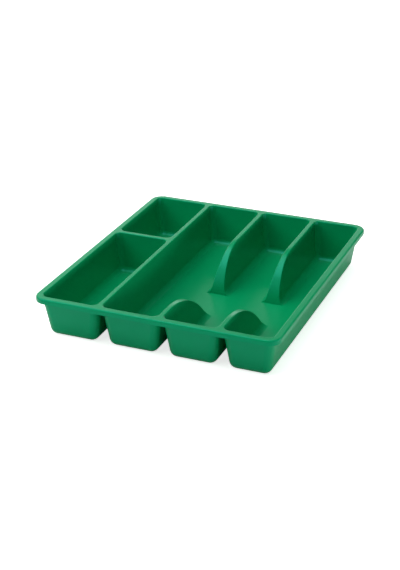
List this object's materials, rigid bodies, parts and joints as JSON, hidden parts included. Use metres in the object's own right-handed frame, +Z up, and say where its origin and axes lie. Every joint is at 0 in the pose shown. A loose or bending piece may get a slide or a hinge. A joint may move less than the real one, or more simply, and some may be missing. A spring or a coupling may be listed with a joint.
{
  "type": "cutlery tray",
  "caption": "Shallow drawer tray for cutlery, moulded in green plastic, with closed compartments at one side and open lanes parted by curved dividers.",
  "frame": {"origin": "centre of the overall box, on the base that the tray rests on", "axes": "+X to the tray's right, +Y to its rear (the side of the rear dividers), +Z up"},
  "size_m": [0.26, 0.31, 0.045],
  "materials": {
    "green_polypropylene": "satin"
  },
  "bodies": {
    "root": {"rim": "green_polypropylene", "rear_left_compartment": "green_polypropylene", "front_left_compartment": "green_polypropylene", "left_lane": "green_polypropylene", "middle_lane": "green_polypropylene", "right_lane": "green_polypropylene", "rear_divider_left": "green_polypropylene", "rear_divider_right": "green_polypropylene", "front_divider_left": "green_polypropylene", "front_divider_right": "green_polypropylene"}
  },
  "joints": []
}
